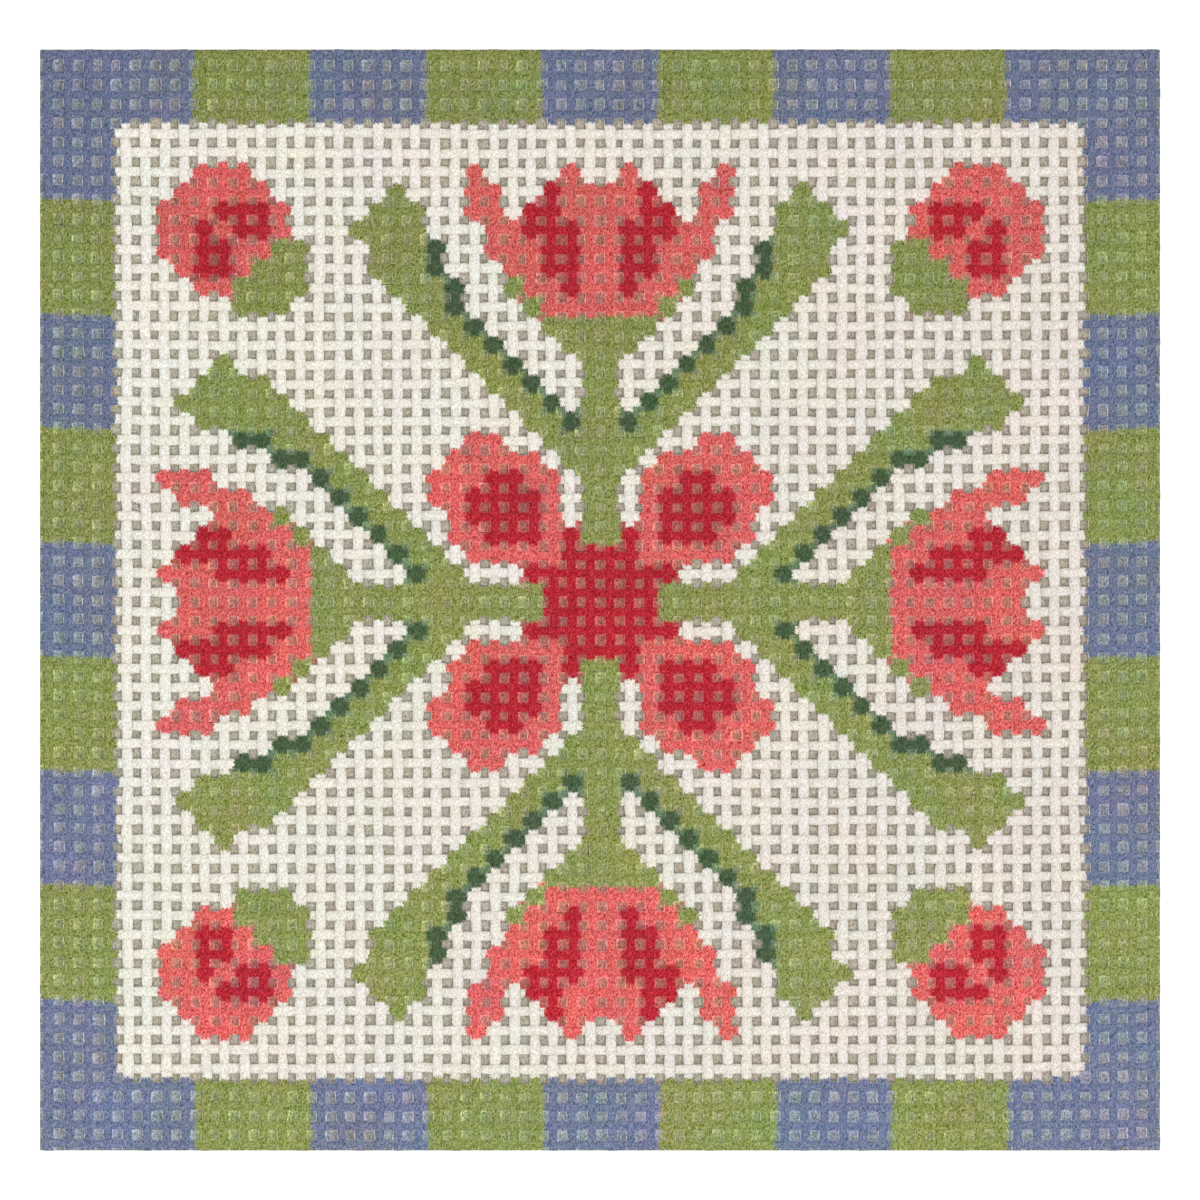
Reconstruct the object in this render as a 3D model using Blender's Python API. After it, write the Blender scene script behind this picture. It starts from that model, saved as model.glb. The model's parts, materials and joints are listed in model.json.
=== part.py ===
"""Needlepoint canvas panel: a square cut from single-thread cotton canvas, lying flat with its painted side up.

Metres, +Z up. +X runs across the warp threads, towards the right of the design, and +Y towards its top.
The origin is on the surface that the panel lies on, under the middle of its outline.

The cloth is one flat sheet. Its outline is the cut edge: scissors pass just outside the last thread on
each side, so the end of every thread that crosses that side stands out as a short tab.
"""
import math

import bmesh
import bpy
from mathutils import Vector

INCH = 0.0254

# Driving dimensions of the cloth
SIDES = 4
THREADS = 58                        # warp threads, and as many weft threads
WARP_PITCH = INCH / 13              # thirteen threads to the inch
WEFT_PITCH = 0.001925               # the weft is beaten up a little closer than the warp
THREAD_WIDTH = 0.0009
SHEET_THICKNESS = 0.0010            # two flattened threads, one over the other

# How far the longest thread end stands out past the last thread on its side
LEFT_END = 0.00046
RIGHT_END = 0.00052
TOP_END = 0.00020
BOTTOM_END = 0.00048
END_UNEVENNESS = 0.30               # the shortest end is this share shorter than the longest
END_TURN = math.radians(137.5)      # steps the lengths so that no neighbours match

# Cotton as the eye sees it: warm off-white, matt
COTTON_COLOUR = (0.871, 0.831, 0.730, 1.0)
COTTON_ROUGHNESS = 0.9
COTTON_METALLIC = 0.0

RIGHTWARDS = Vector((1.0, 0.0, 0.0))
UPWARDS = Vector((0.0, 1.0, 0.0))


def clear_scene():
    """Remove whatever objects the scene starts with."""
    for scene_object in list(bpy.data.objects):
        bpy.data.objects.remove(scene_object, do_unlink=True)


def end_length(longest, index):
    """Length of one thread end: the first is the longest, and the others vary below it."""
    shortened = END_UNEVENNESS * (1 - math.cos(END_TURN * index)) / 2
    return longest * (1 - shortened)


def cut_sides():
    """The four sides, anticlockwise from the bottom: first corner, direction, outward, pitch, longest end.

    The corners are the outer edges of the outermost threads, placed so that the whole cut edge,
    thread ends included, is centred on the origin.
    """
    width = WARP_PITCH * (THREADS - 1) + THREAD_WIDTH
    height = WEFT_PITCH * (THREADS - 1) + THREAD_WIDTH
    left = (LEFT_END - RIGHT_END - width) / 2
    bottom = (BOTTOM_END - TOP_END - height) / 2
    lower_left = Vector((left, bottom, 0.0))
    lower_right = lower_left + RIGHTWARDS * width
    upper_right = lower_right + UPWARDS * height
    upper_left = lower_left + UPWARDS * height
    return (
        (lower_left, RIGHTWARDS, -UPWARDS, WARP_PITCH, BOTTOM_END),
        (lower_right, UPWARDS, RIGHTWARDS, WEFT_PITCH, RIGHT_END),
        (upper_right, -RIGHTWARDS, UPWARDS, WARP_PITCH, TOP_END),
        (upper_left, -UPWARDS, -RIGHTWARDS, WEFT_PITCH, LEFT_END),
    )


def rim_and_tabs():
    """Points round the outermost threads, and for each thread end the number of its first point and its reach."""
    rim = []
    tabs = []
    for corner, direction, outward, pitch, longest in cut_sides():
        for index in range(THREADS):
            first = corner + direction * pitch * index
            tabs.append((len(rim), outward * end_length(longest, index)))
            rim.append(first)
            if index < THREADS - 1:     # the last thread ends on the next side's corner
                rim.append(first + direction * THREAD_WIDTH)
    return rim, tabs


def fill_outline(shape, rim):
    """Faces that step away from each corner, between the two sides that meet there, and one in the middle."""
    side = len(rim) // SIDES
    steps = side // 2
    middle = []
    for corner in range(0, len(rim), side):
        for step in range(steps):
            ring = (rim[corner - step], rim[corner + step], rim[corner + step + 1], rim[corner - step - 1])
            shape.faces.new(list(dict.fromkeys(ring)))      # the first ring names the corner point twice
        middle += [rim[corner - steps], rim[corner + steps]]
    shape.faces.new(middle)


def extrude_thread_ends(shape, rim, tabs):
    """Draw each thread end outward from its own stretch of the rim."""
    for number, reach in tabs:
        root = shape.edges.get((rim[number], rim[(number + 1) % len(rim)]))
        end = bmesh.ops.extrude_edge_only(shape, edges=[root])
        tips = [item for item in end["geom"] if isinstance(item, bmesh.types.BMVert)]
        bmesh.ops.translate(shape, verts=tips, vec=reach)


def thicken(shape):
    """Extrude the flat outline up to the thickness of the sheet."""
    sheet = bmesh.ops.extrude_face_region(shape, geom=shape.faces[:], use_keep_orig=True)
    top = [item for item in sheet["geom"] if isinstance(item, bmesh.types.BMVert)]
    bmesh.ops.translate(shape, verts=top, vec=(0.0, 0.0, SHEET_THICKNESS))
    bmesh.ops.recalc_face_normals(shape, faces=shape.faces[:])


def cotton():
    """Sized cotton thread, unpainted."""
    material = bpy.data.materials.new("cotton_canvas")
    material.use_nodes = True
    shader = material.node_tree.nodes["Principled BSDF"]
    shader.inputs["Base Color"].default_value = COTTON_COLOUR
    shader.inputs["Roughness"].default_value = COTTON_ROUGHNESS
    shader.inputs["Metallic"].default_value = COTTON_METALLIC
    return material


def build_canvas():
    """The cut square of canvas, as one flat sheet."""
    shape = bmesh.new()
    points, tabs = rim_and_tabs()
    rim = [shape.verts.new(point) for point in points]
    fill_outline(shape, rim)
    extrude_thread_ends(shape, rim, tabs)
    thicken(shape)

    mesh = bpy.data.meshes.new("canvas")
    shape.to_mesh(mesh)
    shape.free()
    mesh.materials.append(cotton())
    canvas = bpy.data.objects.new("canvas", mesh)
    bpy.context.scene.collection.objects.link(canvas)


clear_scene()
build_canvas()
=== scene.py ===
"""Needlepoint canvas panel, with its looks: every thread of the weave, and the paint on it.

Metres, +Z up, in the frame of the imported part. +X is to the right of the design, +Y is its top, and the
painted side is up. The warp runs along Y and the weft along X, and each passes over and under the other
in turn. One over and under of a thread is modelled once, repeated along its run and cut to length. Thin
paint has dried across the painted holes, and those films are one more piece.
"""
import json
import math
from dataclasses import dataclass

import bpy
import numpy as np
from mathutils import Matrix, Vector

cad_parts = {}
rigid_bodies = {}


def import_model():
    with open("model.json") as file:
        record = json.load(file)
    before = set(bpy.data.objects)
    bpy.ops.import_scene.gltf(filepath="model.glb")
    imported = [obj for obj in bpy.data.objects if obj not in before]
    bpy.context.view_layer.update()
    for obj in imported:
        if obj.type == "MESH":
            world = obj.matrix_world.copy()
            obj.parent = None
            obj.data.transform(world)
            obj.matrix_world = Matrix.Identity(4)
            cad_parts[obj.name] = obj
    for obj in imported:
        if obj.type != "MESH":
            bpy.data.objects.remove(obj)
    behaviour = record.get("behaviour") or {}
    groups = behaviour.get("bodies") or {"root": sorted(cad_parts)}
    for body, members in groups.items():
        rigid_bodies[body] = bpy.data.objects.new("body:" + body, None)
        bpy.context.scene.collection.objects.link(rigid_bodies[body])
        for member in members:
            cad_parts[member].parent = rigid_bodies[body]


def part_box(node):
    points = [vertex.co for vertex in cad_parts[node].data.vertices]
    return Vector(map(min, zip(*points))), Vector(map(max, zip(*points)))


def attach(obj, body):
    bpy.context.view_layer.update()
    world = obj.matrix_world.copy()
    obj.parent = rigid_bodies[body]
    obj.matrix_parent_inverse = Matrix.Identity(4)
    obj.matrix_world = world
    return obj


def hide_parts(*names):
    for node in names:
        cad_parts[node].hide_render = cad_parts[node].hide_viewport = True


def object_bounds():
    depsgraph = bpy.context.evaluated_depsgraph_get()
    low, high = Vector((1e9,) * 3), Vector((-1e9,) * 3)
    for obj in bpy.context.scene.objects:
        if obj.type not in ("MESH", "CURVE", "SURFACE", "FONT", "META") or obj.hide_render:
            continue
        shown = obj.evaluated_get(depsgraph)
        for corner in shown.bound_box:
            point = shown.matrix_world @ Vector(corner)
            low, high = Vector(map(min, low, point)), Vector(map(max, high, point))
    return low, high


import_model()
CAD_LOW, CAD_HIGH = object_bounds()

MM = 0.001
INCH = 0.0254

# The cloth, as it is cut
THREADS = 58                        # warp threads, and as many weft threads
WARP_PITCH = INCH / 13              # from one warp thread to the next
WEFT_PITCH = 1.925 * MM             # from one weft thread to the next
CUT_THREAD_WIDTH = 0.9 * MM         # the ends below reach past the edge of a thread this wide
LEFT_END = 0.46 * MM
RIGHT_END = 0.52 * MM
TOP_END = 0.20 * MM
BOTTOM_END = 0.48 * MM
END_UNEVENNESS = 0.30               # the shortest end is this share shorter than the longest
END_TURN = math.radians(137.5)      # steps the lengths so that no neighbours match

# The thread
WARP_WIDTH = 1.06 * MM              # flattened by the size it is stiffened with
WEFT_WIDTH = 1.00 * MM
THREAD_THICKNESS = 0.48 * MM
MIDDLE_HEIGHT = 0.40 * MM           # of the cloth's middle, above what it lies on
CRIMP = 0.170 * MM                  # how far a thread rises over and dips under the others
SECTION_SIDES = 8
NEAR_RING = 0.12                    # rings of points at one crossing, in pitches from its middle
MIDDLE_RING = 0.28
FAR_RING = 0.42
RING_STEPS = (-FAR_RING, -MIDDLE_RING, -NEAR_RING, NEAR_RING, MIDDLE_RING, FAR_RING)
RING_REACH = 0.05                   # a point this near a ring is on it
GAP_FROM = 0.35                     # past this a point is in the gap between two crossings
CROSSINGS_IN_REPEAT = 2
REPEATS = 31                        # a little more than the cloth needs, and the scissors take the rest
EARLY_CROSSINGS = 2                 # crossings modelled before the first one of the cloth
SMOOTH_BELOW = math.radians(85)     # edges that turn more than this stay crisp

# How far the cloth departs from an even grid
CROSS_FLARE = 0.055                 # a thread is this share wider where it lies over, and narrower under
CROSS_FLATNESS = 0.16               # and this share thinner
DRAPE = {"warp": 0.06 * MM, "weft": 0.13 * MM}      # how far its edges bend round what it crosses
PAINTED_DRAPE = 0.13 * MM           # and where paint fills the creases
SQUARENESS = 0.06                   # its section is this much fuller than an ellipse, halfway round
SLUB = 0.055                        # thick and thin places
SLUB_LENGTHS = (2.5, 11)            # from one thick place to the next, in pitches
RAGGED = 0.018 * MM                 # unevenness of its outline, from point to point
WANDER = 0.085 * MM                 # slow sideways drift of a thread
WANDER_LENGTHS = (8, 40)
NUDGE = 0.060 * MM                  # sideways shift from one crossing to the next
SWAY = -0.020 * MM                  # and to one side and the other by turns
OUTER_LOOSENESS = 0.25              # how much of this the outermost threads do, which the scissors followed
LIFT = 0.012 * MM                   # up or down from one crossing to the next
PAINT_EDGE_SHIFT = 0.15 * MM        # the paint of one crossing ends this much early or late
PAINT_EDGE_SLANT = 0.07 * MM        # and this much askew
PAINT_FILL = 0.35                   # share of the rise and dip of a thread that paint levels out
PULL = (0.10 * MM, -0.36 * MM)      # the middle of the cloth lies this far off an even grid
LEAN = -0.11 * MM                   # and its upper and lower parts this far to one side and the other
UNEVEN_BEAT = -0.06 * MM            # and this far up and down
SIDEWAYS_FADE = 16                  # what is sideways ends at the cut edge, the higher the more suddenly
UP_DOWN_FADE = {"side": 8, "top": 4, "bottom": 100}     # and what is up or down, at each edge
LEAST_HEIGHT = 0.003 * MM           # nothing lies lower
SEED = 13

# The paint, one letter to a crossing: Blue, Green, K coral, Red, Dark green, and . for bare cotton
BARE = "."
PAINT_HEX = {
    "B": "#6A748F",
    "G": "#858E4E",
    "K": "#D5605D",
    "R": "#AF1A2C",
    "D": "#43583B",
}
BORDER_THREADS = 4
CORNER_THREADS = 8
BLOCK_THREADS = 6
# One eighth of the middle. Each row is one thread further from the centre, and its letters run from the
# axis of the design to its diagonal, so one table gives the rosette, the four tulips and the corner buds.
EIGHTH = (
    "R",
    "RR",
    "RRK",
    "GRKR",
    "G.KRR",
    "G.KRRR",
    "G.KKRRK",
    "GG.KKKKK",
    "GGG..KK..",
    "GDGG......",
    "G.DGG......",
    "G..DGG......",
    "G...DGG......",
    "GG...DGG......",
    "GGG...DGG......",
    "KKKG...DGG......",
    "KRKKG..DGGG....GG",
    "KRRKK...DGGG...GGG",
    "KRRKKK..DGGG...GGKK",
    "KRRRKK...GGGG...KRRK",
    "KKRR.KK..GGG....KRRRK",
    "KKR..KK...G......KKKKK",
    ".K....K...........KKK..",
)

# The films of thin paint that dry across painted holes
FILM_UNDER = 0.16 * MM              # how far a film reaches under the threads round its hole
FILM_INSIDE = 0.05 * MM             # and how far its cut edge stays inside the longest thread ends
FILM_THICKNESS = 0.05 * MM
FILM_DISH = 0.11 * MM               # it hangs this much lower in the middle
FILM_SIDES = 8
FILM_INSET = 0.45                   # how far its rim reaches in, of half its width
FILM_SQUARENESS = 0.30              # how much further it reaches into the corners of its hole
FILM_HEIGHT = (-0.01 * MM, 0.07 * MM)       # above the middle of the cloth
LEAST_PAINTED_CORNERS = 3           # of a hole with a film
FILM_SMOOTH_BELOW = math.radians(80)
FILM_HEX = {                        # let down with size, so paler than on the threads
    "B": "#868C93",
    "G": "#8F9764",
    "K": "#AF7265",
    "R": "#A46058",
    "D": "#647A5E",
}
FILM_RIM_TINT = 0.50                # its rim is this much nearer the colour of the threads
FILM_RIM_LIGHT = 1.40               # and so much paler
FILM_HIGHLIGHT = (0.28, 0.15)            # painted highlight and shade: its rim is paler on its left and at its top, and darker opposite
FILM_HIGHLIGHT_OUTWARD = 0.27            # and a painted highlight paler still towards the nearer side of the cloth
FILM_HIGHLIGHT_INSIDE = 0.4              # and its middle takes this share of that painted highlight and shade
FILM_SPREAD = 0.09                  # paler or darker from hole to hole
FILM_STREAK = 0.13                  # and from place to place in one

# How the paint sits on a thread, from 1, deep, to 0, bare
CREASE_SHADE = {"warp": 0.02, "weft": 0.13}       # painted shade: how much darker a thread is drawn where it goes under another
TOP_RISE = 0.70                     # how high on a thread it is deep, of half its thickness
COVER_UNDERSIDE = 0.30              # what has soaked through
SHOULDER = {"B": 0.32, "G": 0.47, "K": 0.42, "R": 0.50, "D": 0.55}      # of a thread, beside a hole
SHOULDER_LEAN = 0.17                # and so much less on the left of a warp thread
SHOULDER_AT_CROSSING = 0.25         # share of that thinness where two threads cross
UPPER_SIDE = -0.1                   # a point that rises more than this is on the upper side
FRINGE = (0.80, 0.22)               # cover on either side of a place where the paint ends
THINNED_ONTO = "#FFF8EA"            # the cotton, where it shows through thin paint
PALER_BELOW = 0.10                  # how much paler the paint is at the lower edge, and deeper at the top
EDGE_WEAR = 0.85                    # how bare of paint a worn edge is at a crossing, of a thread's shoulder
WORN_FROM = 0.50                    # the higher, the fewer edges are worn
WEAR_LENGTHS = (6, 30)              # from one worn place to the next, in pitches

# The stage and the camera
PHOTO_WIDTH = 121.2 * MM            # what the photograph is wide, at the cloth
CAMERA_HEIGHT = 1.5
SENSOR_MM = 36.0
FLOOR_SIZE = 6.0
FLOOR_DEPTH = 0.6 * MM
CARD_DEPTH = 0.05 * MM
CARD_WIDTH = 0.113                  # for the scale of its fleck
SKY_LIGHT = 0.95
LAMP_PLACE = (0.35, -0.35, 1.1)
LAMP_SIZE = 0.6
LAMP_WATTS = 3.0


def to_linear(hex_colour):
    """The linear RGBA of an sRGB hex colour."""
    parts = [int(hex_colour[place:place + 2], 16) / 255 for place in (1, 3, 5)]
    linear = [part / 12.92 if part <= 0.04045 else ((part + 0.055) / 1.055) ** 2.4 for part in parts]
    return (*linear, 1.0)


def deselect_all():
    for scene_object in bpy.data.objects:
        scene_object.select_set(False)


def activate(piece):
    """Make one object the only selected one."""
    deselect_all()
    piece.select_set(True)
    bpy.context.view_layer.objects.active = piece


# ---------------------------------------------------------------- the chart


def border_letter(place):
    """Colour of the border at the place-th thread along a side, alike from either corner."""
    place = min(place, THREADS - 1 - place)
    if place < CORNER_THREADS:
        return "B"
    block = (place - CORNER_THREADS) // BLOCK_THREADS
    return "G" if block % 2 == 0 else "B"


def chart_letter(warp, weft):
    """Paint at the crossing of one warp and one weft thread."""
    from_side = min(warp, THREADS - 1 - warp)
    from_end = min(weft, THREADS - 1 - weft)
    if from_side < BORDER_THREADS or from_end < BORDER_THREADS:
        return border_letter(weft if from_side < from_end else warp)
    middle = (THREADS - 1) / 2
    near, far = sorted((int(abs(warp - middle)), int(abs(weft - middle))))
    return EIGHTH[far][near] if far < len(EIGHTH) else BARE


# ---------------------------------------------------------------- the threads


@dataclass
class Run:
    """One of the two sets of threads."""
    name: str
    along: Vector           # the way its threads run
    across: Vector
    ring_turn: tuple        # turns a ring to face along the run
    width: float            # of one thread
    pitch: float            # from crossing to crossing along a thread
    spacing: float          # from thread to thread
    first_crossing: float   # place of the first crossing along a thread
    first_thread: float     # place of the first thread
    near_end: float         # longest cut end before the first crossing
    far_end: float          # and past the last one
    near_turned: bool       # whether the lengths of those ends are counted from the last thread
    far_turned: bool
    over_first: bool        # whether its first thread is on top at its first crossing

    def axis(self):
        return 0 if self.along.x else 1


def both_runs():
    """The warp and the weft, worked out from the box of the cloth."""
    low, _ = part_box("canvas")
    half = CUT_THREAD_WIDTH / 2
    first_warp = low.x + LEFT_END + half
    first_weft = low.y + BOTTOM_END + half
    right, up = Vector((1.0, 0.0, 0.0)), Vector((0.0, 1.0, 0.0))
    quarter = math.pi / 2
    warp = Run(
        "warp", up, right, (quarter, 0.0, 0.0), WARP_WIDTH, WEFT_PITCH, WARP_PITCH, first_weft, first_warp,
        BOTTOM_END + half, TOP_END + half, False, True, True,
    )
    weft = Run(
        "weft", right, up, (0.0, quarter, 0.0), WEFT_WIDTH, WARP_PITCH, WEFT_PITCH, first_warp, first_weft,
        LEFT_END + half, RIGHT_END + half, True, False, False,
    )
    return warp, weft


def end_reach(longest, number):
    """How far past the middle of its last crossing one thread is cut: the first is the longest."""
    half = CUT_THREAD_WIDTH / 2
    shortened = END_UNEVENNESS * (1 - math.cos(END_TURN * number)) / 2
    return half + (longest - half) * (1 - shortened)


def cut_places(run, thread):
    """Where one thread starts and ends along its run."""
    last = THREADS - 1
    near_number = last - thread if run.near_turned else thread
    far_number = last - thread if run.far_turned else thread
    start = run.first_crossing - end_reach(run.near_end, near_number)
    end = run.first_crossing + run.pitch * last + end_reach(run.far_end, far_number)
    return start, end


def crimp_height(steps):
    """Height of a thread's middle, so many pitches from a crossing where it is on top."""
    return MIDDLE_HEIGHT + CRIMP * math.cos(math.pi * steps)


def model_repeat(run):
    """One over and one under of a thread: a flattened ring, drawn out from station to station."""
    stations = [crossing + step for crossing in range(CROSSINGS_IN_REPEAT) for step in RING_STEPS]
    stations.append(CROSSINGS_IN_REPEAT + RING_STEPS[0])
    start = run.first_crossing + (stations[0] - EARLY_CROSSINGS) * run.pitch
    place = run.along * start + run.across * run.first_thread
    place.z = crimp_height(stations[0])
    bpy.ops.mesh.primitive_circle_add(
        vertices=SECTION_SIDES, radius=0.5, fill_type="NOTHING", location=place, rotation=run.ring_turn
    )
    thread = bpy.context.active_object
    bpy.ops.object.transform_apply(location=True, rotation=True, scale=True)
    bpy.ops.object.mode_set(mode="EDIT")
    size = run.across * run.width + run.along
    bpy.ops.transform.resize(value=(size.x, size.y, THREAD_THICKNESS), center_override=place)
    for before, after in zip(stations, stations[1:]):
        step = run.along * (after - before) * run.pitch
        step.z = crimp_height(after) - crimp_height(before)
        bpy.ops.mesh.extrude_region_move(TRANSFORM_OT_translate={"value": step})
    bpy.ops.object.mode_set(mode="OBJECT")
    return thread


def lengthen(thread, run):
    """Repeat the over and under along the run."""
    array = thread.modifiers.new("repeat", "ARRAY")
    array.count = REPEATS
    array.use_relative_offset = False
    array.use_constant_offset = True
    array.constant_offset_displace = run.along * run.pitch * CROSSINGS_IN_REPEAT
    array.use_merge_vertices = True
    array.merge_threshold = 0.05 * MM
    activate(thread)
    bpy.ops.object.modifier_apply(modifier=array.name)


def snip(thread, place, direction):
    """Cut a thread across at a place and take away what lies past it in the given direction."""
    activate(thread)
    bpy.ops.object.mode_set(mode="EDIT")
    bpy.ops.mesh.select_all(action="SELECT")
    bpy.ops.mesh.bisect(plane_co=place, plane_no=direction, use_fill=True, clear_outer=True)
    bpy.ops.object.mode_set(mode="OBJECT")


def lay_thread(master, run, thread):
    """One thread of the cloth, in its place and cut to its length."""
    laid = master.copy()
    laid.data = master.data.copy()
    laid.name = f"{run.name}_{thread}"
    bpy.context.collection.objects.link(laid)
    starts_over = run.over_first == (thread % 2 == 0)
    shift = run.across * run.spacing * thread
    if not starts_over:
        shift = shift + run.along * run.pitch
    activate(laid)
    bpy.ops.transform.translate(value=shift)
    bpy.ops.object.transform_apply(location=True, rotation=False, scale=False)
    start, end = cut_places(run, thread)
    snip(laid, run.along * start, -run.along)
    snip(laid, run.along * end, run.along)
    return laid


def join_threads(threads, name):
    """Several threads as one piece, closed, smooth along their length and crisp where they are cut."""
    activate(threads[0])
    for thread in threads:
        thread.select_set(True)
    bpy.ops.object.join()
    piece = bpy.context.active_object
    piece.name = name
    piece.data.name = name
    bpy.ops.object.mode_set(mode="EDIT")
    bpy.ops.mesh.select_all(action="SELECT")
    bpy.ops.mesh.normals_make_consistent(inside=False)
    bpy.ops.object.mode_set(mode="OBJECT")
    bpy.ops.object.shade_smooth_by_angle(angle=SMOOTH_BELOW)
    return piece


# ---------------------------------------------------------------- what makes each thread its own


def points_of(mesh):
    points = np.empty(len(mesh.vertices) * 3)
    mesh.vertices.foreach_get("co", points)
    return points.reshape(-1, 3)


@dataclass
class ThreadPlaces:
    """Where each point of a piece is on its thread, before anything is moved."""
    thread: np.ndarray      # number of the thread
    steps: np.ndarray       # along it, in pitches from its first crossing
    side: np.ndarray        # from -1 to 1 across it
    rise: np.ndarray        # from -1 to 1 up it
    over: np.ndarray        # 1 where it is on top at the nearest crossing, -1 where it is under
    here: np.ndarray        # number of the paint at the nearest crossing, 0 where it is bare
    beyond: np.ndarray      # and at the next nearest
    painted: np.ndarray     # whether there is paint at the nearest crossing


def places_on_threads(piece, run):
    points = points_of(piece.data)
    axis = run.axis()
    steps = (points[:, axis] - run.first_crossing) / run.pitch
    thread = np.rint((points[:, 1 - axis] - run.first_thread) / run.spacing).astype(int)
    side = (points[:, 1 - axis] - run.first_thread - thread * run.spacing) / (run.width / 2)
    starts_over = np.where(thread % 2 == 0, 1, -1) * (1 if run.over_first else -1)
    crossings = range(-EARLY_CROSSINGS, THREADS + EARLY_CROSSINGS)
    stations = np.array([crossing + step for crossing in crossings for step in RING_STEPS])
    middle = MIDDLE_HEIGHT + starts_over * np.interp(steps, stations, CRIMP * np.cos(math.pi * stations))
    rise = (points[:, 2] - middle) / (THREAD_THICKNESS / 2)
    over = starts_over * np.where(np.rint(steps).astype(int) % 2 == 0, 1, -1)
    crossing = np.clip(np.rint(steps), 0, THREADS - 1).astype(int)
    next_crossing = np.clip(crossing + np.where(steps > crossing, 1, -1), 0, THREADS - 1)
    grid = letter_grid() if run.name == "warp" else letter_grid().T
    here, beyond = grid[thread, crossing], grid[thread, next_crossing]
    return ThreadPlaces(thread, steps, side, rise, over, here, beyond, here > 0)


def drift(random, places, waves, lengths):
    """A smooth random value for each point, from -1 to 1 or so, its own on each thread."""
    value = np.zeros(len(places.steps))
    for _ in range(waves):
        length = random.uniform(*lengths, THREADS)
        phase = random.uniform(0, 2 * math.pi, THREADS)
        value += np.sin(2 * math.pi * places.steps / length[places.thread] + phase[places.thread])
    return value / math.sqrt(waves)


def value_by_crossing(random):
    """A random value from -1 to 1 for each thread and crossing, with those before and after the cloth."""
    return random.uniform(-1, 1, (THREADS, THREADS + 2 * EARLY_CROSSINGS))


def nudges(random, places):
    """A random value for each crossing, carried smoothly from one to the next."""
    values = value_by_crossing(random)
    before = np.floor(places.steps).astype(int)
    share = places.steps - before
    share = share * share * (3 - 2 * share)
    number = before + EARLY_CROSSINGS
    return values[places.thread, number] * (1 - share) + values[places.thread, number + 1] * share


def section_turn(places):
    """How far round its thread's section each point is, from 0 underneath, as a share of a full turn."""
    turn = np.arctan2(places.rise, places.side) / (2 * math.pi) + 0.25
    return np.rint(turn * SECTION_SIDES) / SECTION_SIDES % 1.0


def value_by_point(random, places):
    """A random value for each point. Those that a cut adds come in no set order, so they are sorted."""
    values = random.uniform(-1, 1, len(places.steps))
    rings = np.array((NEAR_RING, MIDDLE_RING, FAR_RING))
    from_crossing = np.abs(places.steps - np.rint(places.steps))
    cut = np.flatnonzero(np.abs(from_crossing[:, None] - rings).min(axis=1) > RING_REACH / 2)
    far_end = places.steps > THREADS / 2
    order = np.lexsort((section_turn(places)[cut], far_end[cut], places.thread[cut]))
    values[cut[order]] = values[cut]
    return values


def make_uneven(piece, run, places, random):
    """Move the points a little: threads drift, swell, flare at crossings, and their paint ends unevenly."""
    points = points_of(piece.data)
    axis = run.axis()
    steps, thread, side, rise = places.steps, places.thread, places.side, places.rise
    from_crossing = steps - np.rint(steps)

    fuller = 1 + SQUARENESS * 2 * np.abs(side * rise)
    at_crossing = np.cos(math.pi * from_crossing) ** 2
    swell = SLUB * drift(random, places, 3, SLUB_LENGTHS)
    wider = 1 + CROSS_FLARE * places.over * np.cos(math.pi * from_crossing) + swell
    thicker = 1 - CROSS_FLATNESS * at_crossing + swell / 2
    points[:, 1 - axis] += side * (fuller * wider - 1) * run.width / 2
    points[:, 2] += rise * (fuller * thicker - 1) * THREAD_THICKNESS / 2
    drape = np.where(places.painted, PAINTED_DRAPE, DRAPE[run.name])
    points[:, 2] -= places.over * at_crossing * drape * side ** 2
    points[:, 2] -= places.over * places.painted * PAINT_FILL * CRIMP * np.cos(math.pi * from_crossing)

    points[:, 1 - axis] += RAGGED * value_by_point(random, places) * side
    outermost = (thread == 0) | (thread == THREADS - 1)
    loose = np.where(outermost, OUTER_LOOSENESS, 1.0)
    points[:, 1 - axis] += WANDER * loose * drift(random, places, 3, WANDER_LENGTHS)
    points[:, 1 - axis] += NUDGE * loose * nudges(random, places)
    points[:, 1 - axis] += SWAY * np.where(thread % 2 == 0, 1, -1) * np.sin(math.pi * steps)
    points[:, 2] += LIFT * nudges(random, places)

    gap = np.floor(steps).astype(int) + EARLY_CROSSINGS
    beside_gap = (np.abs(from_crossing) > GAP_FROM) & (steps > 0) & (steps < THREADS - 1)
    early_or_late = value_by_crossing(random)[thread, gap]
    slant = value_by_crossing(random)[thread, gap]
    shift = PAINT_EDGE_SHIFT * early_or_late + PAINT_EDGE_SLANT * slant * side
    points[:, axis] += np.where(beside_gap, shift, 0.0)

    place_points(piece, points)


def place_points(piece, points):
    """Move the points of a piece to their last place, with the cloth's own slight distortion."""
    right, up = np.clip(points[:, :2] / np.array((CAD_HIGH.x, CAD_HIGH.y)), -1, 1).T
    points[:, 0] += (PULL[0] + LEAN * np.sin(math.pi / 2 * up)) * (1 - right ** SIDEWAYS_FADE)
    fade = np.where(up > 0, UP_DOWN_FADE["top"], UP_DOWN_FADE["bottom"])
    pull = (1 - right ** UP_DOWN_FADE["side"]) * (1 - np.abs(up) ** fade)
    points[:, 1] += (PULL[1] + UNEVEN_BEAT * np.sin(math.pi * up)) * pull
    points[:, 2] = np.maximum(points[:, 2], LEAST_HEIGHT)
    piece.data.vertices.foreach_set("co", points.ravel())
    piece.data.update()


def letter_grid():
    """Number of the paint at each warp and weft crossing, and 0 where it is bare."""
    letters = [BARE, *PAINT_HEX]
    grid = [[letters.index(chart_letter(warp, weft)) for weft in range(THREADS)] for warp in range(THREADS)]
    return np.array(grid)


def palette(hex_colours):
    """Linear colours by number of the paint, after black for none."""
    return np.array([to_linear("#000000")] + [to_linear(value) for value in hex_colours.values()])


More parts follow.
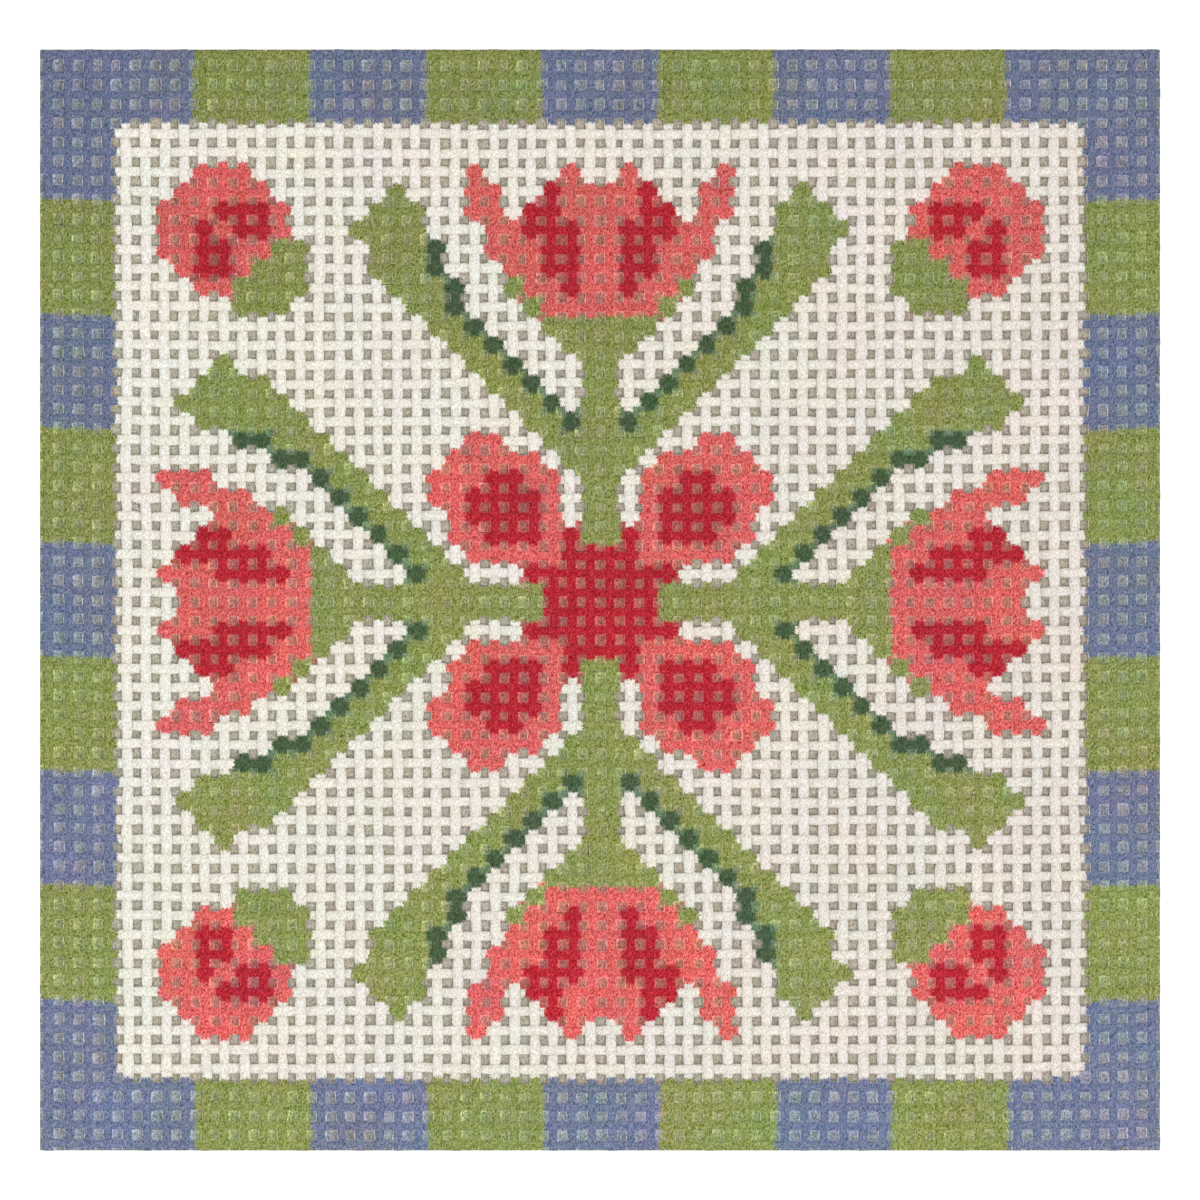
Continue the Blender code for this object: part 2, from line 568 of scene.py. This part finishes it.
def paler_below(points):
    """How pale the paint is at each point: paler towards the lower edge and deeper towards the top."""
    return 1 - PALER_BELOW * points[:, 1:2] / CAD_HIGH.y


def paint_depth(run, places, random):
    """How deep the paint is at each point: thinner on a thread's shoulders, and thin where it has worn."""
    shoulders = np.array([0.0, *SHOULDER.values()])[places.here]
    if run.name == "warp":
        shoulders = shoulders + SHOULDER_LEAN * places.side
    from_crossing = np.abs(places.steps - np.rint(places.steps))
    beside_hole = (from_crossing - NEAR_RING) / (MIDDLE_RING - NEAR_RING)
    beside_hole = np.clip(beside_hole, SHOULDER_AT_CROSSING, 1)
    wear_near, wear_far = (drift(random, places, 2, WEAR_LENGTHS) for _ in range(2))
    worn = (np.where(places.side < 0, wear_near, wear_far) > WORN_FROM) & (places.over > 0)
    beside_hole = np.where(worn, np.maximum(beside_hole, EDGE_WEAR), beside_hole)
    outermost = (places.thread == 0) & (places.side < 0) | (places.thread == THREADS - 1) & (places.side > 0)
    shoulder = np.clip(1 - (1 - shoulders) * np.where(outermost, 0, beside_hole), 0, 1)
    top = np.clip(places.rise / TOP_RISE, 0, 1)
    return np.where(places.painted & (places.rise > UPPER_SIDE), shoulder * (1 - top) + top, 1.0)


def paint_threads(piece, run, places, random):
    """Store the paint's colour and cover at each point, for the material to read."""
    nearest = np.where(places.painted, places.here, places.beyond)
    colour = np.clip(palette(PAINT_HEX)[nearest] * paler_below(points_of(piece.data)), 0, 1)
    deep = paint_depth(run, places, random)[:, None]
    colour = colour ** deep * np.array(to_linear(THINNED_ONTO)) ** (1 - deep)
    from_crossing = np.abs(places.steps - np.rint(places.steps))
    cover = 1 - (1 - COVER_UNDERSIDE) * np.clip(-places.rise, 0, 1)
    at_end = (from_crossing > GAP_FROM) & (places.painted != (places.beyond > 0))
    cover = np.where(at_end, cover * np.where(places.painted, *FRINGE), cover * places.painted)
    colour[:, 3] = cover
    layer = piece.data.attributes.new("paint", "FLOAT_COLOR", "POINT")
    layer.data.foreach_set("color", colour.ravel())


def paint_crease_shade(piece, run, places):
    """Store the painted shade in a bare thread's crease: how much darker it is just before and after it goes
    under another.
    """
    from_crossing = np.abs(places.steps - np.rint(places.steps))
    beside_crossing = np.abs(from_crossing - MIDDLE_RING) < RING_REACH
    crease = np.where(beside_crossing & (places.over < 0) & ~places.painted, CREASE_SHADE[run.name], 0.0)
    layer = piece.data.attributes.new("crease", "FLOAT", "POINT")
    layer.data.foreach_set("value", crease)


STRIP_START = 0.004                 # the map holds one strip for each thread, and its cut ends beside it
STRIP_LENGTH = 0.974
STRIP_SHARE = 0.88                  # of the room between two strips' middles
END_CELLS = (0.985, 0.995)
END_CELL_SIZE = (0.004, 0.3)        # half of it, along the map and as a share of the room for a strip
MAP_SPAN = 116 * MM                 # how much thread one strip can hold
THREAD_GIRTH = 2.35 * MM            # round it, for the scale of its fibres


def map_threads(piece, run, places, first, count):
    """Give each thread a strip of the map, along it and round it, with the seam underneath."""
    mesh = piece.data
    along = STRIP_START + STRIP_LENGTH * (places.steps * run.pitch + run.near_end) / MAP_SPAN
    turn = section_turn(places)
    corners = np.empty(len(mesh.loops), dtype=int)
    mesh.loops.foreach_get("vertex_index", corners)
    sides = np.empty(len(mesh.polygons), dtype=int)
    mesh.polygons.foreach_get("loop_total", sides)
    face = np.repeat(np.arange(len(sides)), sides)
    corner_turn = turn[corners]
    widest = np.zeros(len(sides))
    np.maximum.at(widest, face, corner_turn)
    cut_end = (sides > 4)[face]
    # A face across the seam has corners just before it and just past it: those past it go on from 1
    wraps = (widest[face] > 0.7) & (corner_turn < 0.3) & ~cut_end
    corner_turn = np.where(wraps, corner_turn + 1.0, corner_turn)
    strip = (places.thread[corners] - first) / count
    u = along[corners]
    v = strip + (0.5 - STRIP_SHARE / 2 + STRIP_SHARE * corner_turn) / count
    angle = 2 * math.pi * turn[corners]
    far = places.steps[corners] > THREADS / 2
    u = np.where(cut_end, np.where(far, END_CELLS[1], END_CELLS[0]) + END_CELL_SIZE[0] * np.cos(angle), u)
    v = np.where(cut_end, strip + (0.5 + END_CELL_SIZE[1] * np.sin(angle)) / count, v)
    layer = mesh.uv_layers.new(name="OFBake")
    layer.uv.foreach_set("vector", np.stack([u, v], axis=1).ravel())


# ---------------------------------------------------------------- paint in the holes


def model_film():
    """A skin of paint across a hole, one unit to each side: a flat rim round a hanging middle."""
    bpy.ops.mesh.primitive_circle_add(
        vertices=FILM_SIDES, radius=1.0, fill_type="NGON", location=(0.0, 0.0, 0.5)
    )
    film = bpy.context.active_object
    bpy.ops.object.transform_apply(location=True, rotation=False, scale=False)
    bpy.ops.object.mode_set(mode="EDIT")
    bpy.ops.mesh.inset(thickness=FILM_INSET)
    bpy.ops.transform.translate(value=(0.0, 0.0, -FILM_DISH / FILM_THICKNESS))
    bpy.ops.mesh.select_all(action="SELECT")
    bpy.ops.mesh.extrude_region_move(TRANSFORM_OT_translate={"value": (0.0, 0.0, -1.0)})
    bpy.ops.mesh.select_all(action="SELECT")
    bpy.ops.mesh.normals_make_consistent(inside=False)
    bpy.ops.object.mode_set(mode="OBJECT")
    return film


def gaps_between(run):
    """Middle and half width of each gap beside a run's threads, out to the cut edge on both sides."""
    low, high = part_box("canvas")
    axis = 1 - run.axis()
    edges = [low[axis] + FILM_INSIDE]
    for thread in range(THREADS):
        middle = run.first_thread + thread * run.spacing
        edges += [middle - run.width / 2 + FILM_UNDER, middle + run.width / 2 - FILM_UNDER]
    edges.append(high[axis] - FILM_INSIDE)
    return [((start + end) / 2, (end - start) / 2) for start, end in zip(edges[::2], edges[1::2])]


def painted_holes(grid):
    """Each hole with paint at three or four of its corners: its two gap numbers, and the paint at each."""
    around = np.pad(grid, 1, mode="edge")
    holes = []
    for warp_gap in range(THREADS + 1):
        for weft_gap in range(THREADS + 1):
            corners = around[warp_gap:warp_gap + 2, weft_gap:weft_gap + 2].ravel()
            if np.count_nonzero(corners) >= LEAST_PAINTED_CORNERS:
                holes.append((warp_gap, weft_gap, corners))
    return holes


def film_paints():
    """Colours of a film's middle and of its rim, by number of the paint."""
    middles = palette(FILM_HEX)
    rims = (middles + FILM_RIM_TINT * (palette(PAINT_HEX) - middles)) * FILM_RIM_LIGHT
    return middles, rims


def film_highlight_and_tone(shape, on_rim, x, random):
    """How pale each point of the film in a hole at x is: a painted highlight towards its upper left, and its
    own tone from place to place.
    """
    left_highlight = FILM_HIGHLIGHT[0] - FILM_HIGHLIGHT_OUTWARD * x / CAD_HIGH.x
    highlight_share = np.where(on_rim, 1.0, FILM_HIGHLIGHT_INSIDE)
    # painted highlight towards the upper left and the nearer side, painted shade opposite
    pale = 1 + highlight_share * (FILM_HIGHLIGHT[1] * shape[:, 1] - left_highlight * shape[:, 0])
    pale = pale * (1 + FILM_SPREAD * random.uniform(-1, 1))
    return pale * (1 + FILM_STREAK * random.uniform(-1, 1, len(shape)))


def make_films(random):
    """One piece with a film in each painted hole, uneven, and painted as the corners of the hole are."""
    film = model_film()
    shape = points_of(film.data)
    squarer = 1 + FILM_SQUARENESS * np.abs(np.sin(2 * np.arctan2(shape[:, 1], shape[:, 0])))
    shape[:, :2] *= squarer[:, None]
    on_rim = np.hypot(shape[:, 0], shape[:, 1]) > 1 - FILM_INSET / 2
    faces = [tuple(face.vertices) for face in film.data.polygons]
    across, up = (gaps_between(run) for run in both_runs())
    middles, rims = film_paints()
    all_points, all_faces, all_colours = [], [], []
    for number, (warp_gap, weft_gap, corners) in enumerate(painted_holes(letter_grid())):
        (x, half_x), (y, half_y) = across[warp_gap], up[weft_gap]
        height = MIDDLE_HEIGHT + random.uniform(*FILM_HEIGHT)
        all_points.append(shape * (half_x, half_y, FILM_THICKNESS) + (x, y, height))
        paint = corners[2 * (shape[:, 0] > 0) + (shape[:, 1] > 0)]
        paint = np.where(paint > 0, paint, corners.max())
        colour = np.where(on_rim[:, None], rims[paint], middles[paint])
        all_colours.append(colour * film_highlight_and_tone(shape, on_rim, x, random)[:, None])
        all_faces += [tuple(corner + number * len(shape) for corner in face) for face in faces]
    mesh = bpy.data.meshes.new("paint_films")
    mesh.from_pydata(np.concatenate(all_points), [], all_faces)
    piece = bpy.data.objects.new("paint_films", mesh)
    bpy.context.collection.objects.link(piece)
    layer = mesh.attributes.new("paint", "FLOAT_COLOR", "POINT")
    colour = np.concatenate(all_colours) * paler_below(points_of(mesh))
    layer.data.foreach_set("color", colour.ravel())
    place_points(piece, points_of(mesh))
    activate(piece)
    bpy.ops.object.shade_smooth_by_angle(angle=FILM_SMOOTH_BELOW)
    mesh.materials.append(dried_paint())
    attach(piece, "root")
    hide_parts("canvas")
    bpy.data.objects.remove(film)


# ---------------------------------------------------------------- finishes


def add_node(tree, kind, links=None, **settings):
    """Add one node: links gives its inputs by name or number, from a socket or as a value."""
    node = tree.nodes.new(kind)
    for name, value in settings.items():
        setattr(node, name, value)
    for name, value in (links or {}).items():
        if isinstance(value, bpy.types.NodeSocket):
            tree.links.new(value, node.inputs[name])
        else:
            node.inputs[name].default_value = value
    return node


def new_material(name):
    material = bpy.data.materials.new(name)
    material.use_nodes = True
    return material, material.node_tree, material.node_tree.nodes["Principled BSDF"]


TWIST = math.radians(28)            # of the fibres round a thread
FIBRE_WIDTH = 0.14 * MM             # finer in the real one, and drawn as coarse as it shows
FIBRE_LENGTH = 0.5 * MM
GRAIN = (0.12 * MM, 0.22 * MM, 0.15 * MM)   # the mottle of fibre ends and paint grains, longer up the cloth
GRAIN_DEPTH = 0.84                  # how much darker and lighter it makes a colour
FILM_GRAIN_DEPTH = 0.60
FIBRE_SHARE = 0.30                  # of the texture, and the mottle is the rest
PATCH = 7.0 * MM                    # where the painter's brush left more of one pigment
PATCH_DEPTH = 0.42                  # how much stronger and weaker it makes them
PATCH_TINT = (1.0, 0.6, 1.0)        # they are warmer or cooler more than they are greener
FILM_PATCH_DEPTH = 0.60
COTTON_PATCH_DEPTH = 0.18           # and where the cotton is a little less bleached
HUE_GRAIN_DEPTH = 0.75              # and where single grains of one pigment or the other show
FILM_HUE_GRAIN_DEPTH = 0.9
RIGHT_EDGE_HEX = "#F8F2F4"                # how much darker and warmer the right edge is than the left one
COTTON = {"warp": ("#C9C2B1", "#FFFEF6"), "weft": ("#C8C1AF", "#FFFEF4")}       # in its hollows, and on top
COTTON_TEXTURE = (0.34, 0.61)       # how far up its texture those hollows and tops are
NOISE_RANGE = (0.3, 0.7)            # where nearly all values of a noise lie
FLECK_GREYNESS = 0.5
FRAY = 0.9                          # how much the grain eats into the edge of the paint
PAINT_EDGE = (0.25, 0.80)           # from no paint to full paint
CARD_HEX = "#CBC6B5"
CARD_GRAIN_DEPTH = 0.5
CARD_PATCH_DEPTH = 0.20


def tinted_across(tree, colour, across):
    """A colour a little darker and warmer, more and more towards the right edge."""
    tint = add_node(
        tree, "ShaderNodeMix", {0: across, 6: to_linear("#FFFFFF"), 7: to_linear(RIGHT_EDGE_HEX)}, data_type="RGBA"
    ).outputs[2]
    return add_node(tree, "ShaderNodeVectorMath", {0: colour, 1: tint}, operation="MULTIPLY").outputs[0]


def patches(tree, place):
    """Three slow random values, from patch to patch."""
    return add_node(
        tree, "ShaderNodeTexNoise", {"Vector": place, "Scale": 1 / PATCH, "Detail": 2.0, "Roughness": 0.6}
    ).outputs["Color"]


def patched(tree, colour, patch, depth):
    """A colour that leans a little to one hue or another from patch to patch."""
    shift = add_node(
        tree, "ShaderNodeVectorMath", {0: patch, 1: (0.5, 0.5, 0.5)}, operation="SUBTRACT"
    ).outputs[0]
    depths = tuple(depth * share for share in PATCH_TINT)
    tint = add_node(
        tree, "ShaderNodeVectorMath", {0: shift, 1: depths, 2: (1.0, 1.0, 1.0)}, operation="MULTIPLY_ADD"
    ).outputs[0]
    return add_node(tree, "ShaderNodeVectorMath", {0: colour, 1: tint}, operation="MULTIPLY").outputs[0]


def fine_grain(tree, place):
    """The fine mottle that lies over everything."""
    scale = tuple(1 / size for size in GRAIN)
    place = add_node(tree, "ShaderNodeMapping", {"Vector": place, "Scale": scale}).outputs[0]
    return add_node(
        tree, "ShaderNodeTexNoise",
        {"Vector": place, "Scale": 1.0, "Detail": 1.0, "Roughness": 0.6, "Distortion": 0.8},
    ).outputs


def grained(tree, colour, texture, depth):
    """A colour with darker and lighter flecks, which are greyer than it is."""
    grey = add_node(tree, "ShaderNodeRGBToBW", {0: colour}).outputs[0]
    fleck = add_node(
        tree, "ShaderNodeMix", {0: FLECK_GREYNESS, 6: colour, 7: grey}, data_type="RGBA"
    ).outputs[2]
    low, high = NOISE_RANGE
    amount = add_node(
        tree, "ShaderNodeMapRange",
        {"Value": texture, "From Min": low, "From Max": high, "To Min": -depth, "To Max": depth},
    ).outputs["Result"]
    return add_node(
        tree, "ShaderNodeVectorMath", {0: fleck, 1: amount, 2: colour}, operation="MULTIPLY_ADD"
    ).outputs[0]


def painted_cotton(run):
    """Mono cotton canvas, sized and hand-painted with acrylic.

    The size lays the fibres flat, so the thread is matt with a fine twisted streak and only a little fuzz.
    The acrylic is a thin matt coat on the upper side. It is patchy, grainy and a little smoother than the
    cotton, it stops unevenly on the thread's shoulders, and some has soaked through to the back.
    """
    material, tree, shader = new_material(f"sized_{run.name}_cotton_with_acrylic")
    strip = add_node(tree, "ShaderNodeUVMap", uv_map="OFBake").outputs["UV"]
    place = add_node(tree, "ShaderNodeTexCoord").outputs["Object"]
    paint = add_node(tree, "ShaderNodeAttribute", attribute_name="paint")

    strip_metres = (MAP_SPAN / STRIP_LENGTH, THREADS / 2 * THREAD_GIRTH / STRIP_SHARE, 1.0)
    on_thread = add_node(tree, "ShaderNodeMapping", {"Vector": strip, "Scale": strip_metres}).outputs[0]
    on_fibre = add_node(tree, "ShaderNodeMapping", {"Vector": on_thread, "Rotation": (0.0, 0.0, TWIST)})
    fibre_scale = (1 / FIBRE_LENGTH, 1 / FIBRE_WIDTH, 1.0)
    fibre_place = add_node(
        tree, "ShaderNodeMapping", {"Vector": on_fibre.outputs[0], "Scale": fibre_scale}
    ).outputs[0]
    fibre = add_node(
        tree, "ShaderNodeTexNoise", {"Vector": fibre_place, "Scale": 1.0, "Detail": 2.0, "Roughness": 0.6}
    ).outputs["Fac"]
    grain, hue_grain = fine_grain(tree, place)
    patch = patches(tree, place)
    from_middle = add_node(tree, "ShaderNodeSeparateXYZ", {0: place}).outputs["X"]
    across = add_node(
        tree, "ShaderNodeMapRange", {"Value": from_middle, "From Min": CAD_LOW.x, "From Max": CAD_HIGH.x}
    ).outputs["Result"]

    texture = add_node(
        tree, "ShaderNodeMath", {0: fibre, 1: FIBRE_SHARE, 2: 0.0}, operation="MULTIPLY_ADD"
    ).outputs[0]
    texture = add_node(
        tree, "ShaderNodeMath", {0: grain, 1: 1 - FIBRE_SHARE, 2: texture}, operation="MULTIPLY_ADD"
    ).outputs[0]
    low, high = COTTON_TEXTURE
    spread = add_node(
        tree, "ShaderNodeMapRange", {"Value": texture, "From Min": low, "From Max": high}
    ).outputs["Result"]
    hollow, top = (to_linear(value) for value in COTTON[run.name])
    cotton = add_node(tree, "ShaderNodeMix", {0: spread, 6: hollow, 7: top}, data_type="RGBA").outputs[2]
    cotton = tinted_across(tree, patched(tree, cotton, patch, COTTON_PATCH_DEPTH), across)
    acrylic = patched(tree, paint.outputs["Color"], patch, PATCH_DEPTH)
    acrylic = grained(tree, patched(tree, acrylic, hue_grain, HUE_GRAIN_DEPTH), texture, GRAIN_DEPTH)

    ragged = add_node(
        tree, "ShaderNodeMath", {0: grain, 1: -FRAY, 2: FRAY / 2}, operation="MULTIPLY_ADD"
    ).outputs[0]
    edge = add_node(
        tree, "ShaderNodeMath", {0: paint.outputs["Alpha"], 1: ragged}, operation="ADD"
    ).outputs[0]
    low, high = PAINT_EDGE
    cover = add_node(
        tree, "ShaderNodeMapRange", {"Value": edge, "From Min": low, "From Max": high},
        interpolation_type="SMOOTHSTEP",
    ).outputs["Result"]
    surface = add_node(tree, "ShaderNodeMix", {0: cover, 6: cotton, 7: acrylic}, data_type="RGBA").outputs[2]
    # painted shade in the creases where a bare thread goes under another
    crease = add_node(tree, "ShaderNodeAttribute", attribute_name="crease").outputs["Fac"]
    kept = add_node(tree, "ShaderNodeMath", {0: 1.0, 1: crease}, operation="SUBTRACT").outputs[0]
    surface = add_node(
        tree, "ShaderNodeVectorMath", {0: surface, "Scale": kept}, operation="SCALE"
    ).outputs[0]
    tree.links.new(surface, shader.inputs["Base Color"])

    roughness = add_node(
        tree, "ShaderNodeMapRange", {"Value": cover, "To Min": 0.92, "To Max": 0.72}
    ).outputs["Result"]
    tree.links.new(roughness, shader.inputs["Roughness"])
    shader.inputs["IOR"].default_value = 1.47
    shader.inputs["Specular IOR Level"].default_value = 0.15
    shader.inputs["Sheen Weight"].default_value = 0.15
    shader.inputs["Sheen Roughness"].default_value = 0.5
    bump = add_node(tree, "ShaderNodeBump", {"Height": texture, "Strength": 0.9, "Distance": 0.12 * MM})
    tree.links.new(bump.outputs["Normal"], shader.inputs["Normal"])
    return material


def dried_paint():
    """Thin acrylic let down with the canvas's own size, dried in its holes, uneven and rather smooth."""
    material, tree, shader = new_material("dried_acrylic_and_size")
    place = add_node(tree, "ShaderNodeTexCoord").outputs["Object"]
    paint = add_node(tree, "ShaderNodeAttribute", attribute_name="paint").outputs["Color"]
    paint = patched(tree, paint, patches(tree, place), FILM_PATCH_DEPTH)
    grain, hue_grain = fine_grain(tree, place)
    surface = grained(tree, patched(tree, paint, hue_grain, FILM_HUE_GRAIN_DEPTH), grain, FILM_GRAIN_DEPTH)
    tree.links.new(surface, shader.inputs["Base Color"])
    shader.inputs["Roughness"].default_value = 0.6
    shader.inputs["Specular IOR Level"].default_value = 0.2
    return material


def mottled_card():
    """The board behind the cloth: taupe, with the fleck of recycled pulp."""
    material, tree, shader = new_material("taupe_card")
    shares = add_node(tree, "ShaderNodeTexCoord").outputs["Generated"]
    across = add_node(tree, "ShaderNodeSeparateXYZ", {0: shares}).outputs["X"]
    place = add_node(tree, "ShaderNodeMapping", {"Vector": shares, "Scale": (CARD_WIDTH,) * 3}).outputs[0]
    colour = add_node(tree, "ShaderNodeRGB")
    colour.outputs[0].default_value = to_linear(CARD_HEX)
    card = grained(tree, colour.outputs[0], fine_grain(tree, place)[0], CARD_GRAIN_DEPTH)
    card = patched(tree, card, patches(tree, place), CARD_PATCH_DEPTH)
    tree.links.new(tinted_across(tree, card, across), shader.inputs["Base Color"])
    shader.inputs["Roughness"].default_value = 0.9
    shader.inputs["Specular IOR Level"].default_value = 0.0
    return material


def plain_finish(name, hex_colour, roughness, glow):
    """A stage surface of one colour."""
    material, _, shader = new_material(name)
    shader.inputs["Base Color"].default_value = to_linear(hex_colour)
    shader.inputs["Emission Color"].default_value = (1.0, 1.0, 1.0, 1.0)
    shader.inputs["Emission Strength"].default_value = glow
    shader.inputs["Roughness"].default_value = roughness
    shader.inputs["Specular IOR Level"].default_value = 0.0
    return material


# ---------------------------------------------------------------- putting the cloth together


def declare(piece):
    """Attach the piece to the cloth's body, in the place of the canvas part, which is hidden."""
    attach(piece, "root")
    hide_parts("canvas")


def make_half(master, run, first, count, name, finish, random, wear_random):
    """Half of a run's threads as one piece."""
    threads = [lay_thread(master, run, thread) for thread in range(first, first + count)]
    piece = join_threads(threads, name)
    places = places_on_threads(piece, run)
    map_threads(piece, run, places, first, count)
    paint_threads(piece, run, places, wear_random)
    paint_crease_shade(piece, run, places)
    make_uneven(piece, run, places, random)
    piece.data.materials.append(finish)
    declare(piece)


def make_cloth():
    deselect_all()
    random, wear_random = (np.random.default_rng(SEED + number) for number in range(2))
    halves = {"warp": ("left", "right"), "weft": ("lower", "upper")}
    for run in both_runs():
        finish = painted_cotton(run)
        master = model_repeat(run)
        lengthen(master, run)
        count = THREADS // 2
        for number, half in enumerate(halves[run.name]):
            name = f"{run.name}_threads_{half}"
            make_half(master, run, number * count, count, name, finish, random, wear_random)
        bpy.data.objects.remove(master)
    make_films(random)


# ---------------------------------------------------------------- stage, light and camera


def make_stage():
    bpy.ops.mesh.primitive_plane_add(size=FLOOR_SIZE, location=(0.0, 0.0, -FLOOR_DEPTH))
    floor = bpy.context.active_object
    floor.name = "floor"
    floor.data.materials.append(plain_finish("white_paper", "#F4F4F4", roughness=0.9, glow=0.5))
    bpy.ops.mesh.primitive_plane_add(size=1.0, location=(0.0, 0.0, -CARD_DEPTH))
    card = bpy.context.active_object
    card.name = "card"
    card.scale = (CAD_HIGH.x - CAD_LOW.x, CAD_HIGH.y - CAD_LOW.y, 1.0)
    card.data.materials.append(mottled_card())


def make_light():
    world = bpy.data.worlds.new("studio")
    bpy.context.scene.world = world
    world.use_nodes = True
    world.node_tree.nodes["Background"].inputs["Color"].default_value = (1.0, 1.0, 1.0, 1.0)
    world.node_tree.nodes["Background"].inputs["Strength"].default_value = SKY_LIGHT
    bpy.ops.object.light_add(type="AREA", location=LAMP_PLACE)
    lamp = bpy.context.active_object
    lamp.name = "softbox"
    lamp.data.size = LAMP_SIZE
    lamp.data.energy = LAMP_WATTS
    lamp.rotation_euler = Vector(lamp.location).to_track_quat("Z", "Y").to_euler()


def make_camera():
    """Straight above the cloth, as wide as the photograph."""
    camera_data = bpy.data.cameras.new("camera")
    camera = bpy.data.objects.new("camera", camera_data)
    bpy.context.collection.objects.link(camera)
    camera.location = (0.0, 0.0, CAMERA_HEIGHT)
    camera_data.sensor_width = SENSOR_MM
    camera_data.lens = SENSOR_MM * (CAMERA_HEIGHT - CAD_HIGH.z) / PHOTO_WIDTH
    bpy.context.scene.camera = camera
    bpy.context.scene.view_settings.view_transform = "Standard"


make_cloth()
make_stage()
make_light()
make_camera()
